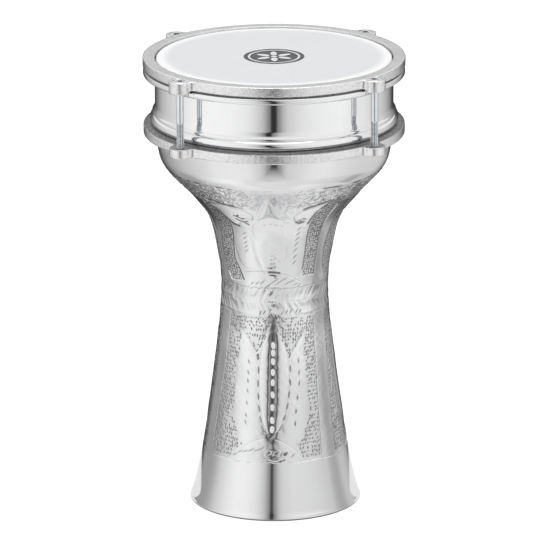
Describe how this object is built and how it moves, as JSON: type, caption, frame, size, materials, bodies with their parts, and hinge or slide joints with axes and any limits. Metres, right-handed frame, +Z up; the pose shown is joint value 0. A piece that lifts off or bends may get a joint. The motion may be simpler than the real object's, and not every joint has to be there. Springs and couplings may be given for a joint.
{
  "type": "goblet drum",
  "caption": "Goblet drum (darbuka) with a hollow engraved metal shell, a screw-tensioned head, cast rings and a flared open foot.",
  "frame": {"origin": "centre of the foot rim, on the plane the drum stands on", "axes": "+Z up along the drum's axis from the foot to the head; X and Y point midway between the four lugs"},
  "size_m": [0.203, 0.203, 0.3571],
  "materials": {
    "shell_metal": "polished, hammered and engraved",
    "cast_ring": "sand-cast, satin",
    "hoop_metal": "bright rolled",
    "resin": "cast resin",
    "head_film": "satin pearl-grey polyester film",
    "bolt_steel": "bright zinc plated"
  },
  "bodies": {
    "shell": {"goblet_shell": "shell_metal", "lower_ring": "cast_ring"},
    "tension_ring": {"top_ring": "cast_ring"},
    "drumhead": {"head_film": "head_film", "flesh_hoop": "hoop_metal", "hoop_resin": "resin"},
    "bolt_1": {"tension_bolt_1": "bolt_steel"},
    "bolt_2": {"tension_bolt_2": "bolt_steel"},
    "bolt_3": {"tension_bolt_3": "bolt_steel"},
    "bolt_4": {"tension_bolt_4": "bolt_steel"}
  },
  "joints": [
    {"name": "ring_lift", "type": "slide", "parent": "shell", "child": "tension_ring", "axis": [0, 0, 1], "range_m": [0, 0.008]},
    {"name": "head_lift", "type": "slide", "parent": "shell", "child": "drumhead", "axis": [0, 0, 1], "range_m": [0, 0.004]},
    {"name": "bolt_1_turn", "type": "hinge", "parent": "tension_ring", "child": "bolt_1", "pos_m": [0.07396, 0.07396, 0.33], "axis": [0, 0, 1], "range_deg": [0, 2880]},
    {"name": "bolt_2_turn", "type": "hinge", "parent": "tension_ring", "child": "bolt_2", "pos_m": [-0.07396, 0.07396, 0.33], "axis": [0, 0, 1], "range_deg": [0, 2880]},
    {"name": "bolt_3_turn", "type": "hinge", "parent": "tension_ring", "child": "bolt_3", "pos_m": [-0.07396, -0.07396, 0.33], "axis": [0, 0, 1], "range_deg": [0, 2880]},
    {"name": "bolt_4_turn", "type": "hinge", "parent": "tension_ring", "child": "bolt_4", "pos_m": [0.07396, -0.07396, 0.33], "axis": [0, 0, 1], "range_deg": [0, 2880]}
  ],
  "couplings": [
    {"joint": "head_lift", "follows": "ring_lift", "ratio": 0.5},
    {"joint": "bolt_1_turn", "follows": "ring_lift", "rad_per_m": 6283.2},
    {"joint": "bolt_2_turn", "follows": "ring_lift", "rad_per_m": 6283.2},
    {"joint": "bolt_3_turn", "follows": "ring_lift", "rad_per_m": 6283.2},
    {"joint": "bolt_4_turn", "follows": "ring_lift", "rad_per_m": 6283.2}
  ]
}
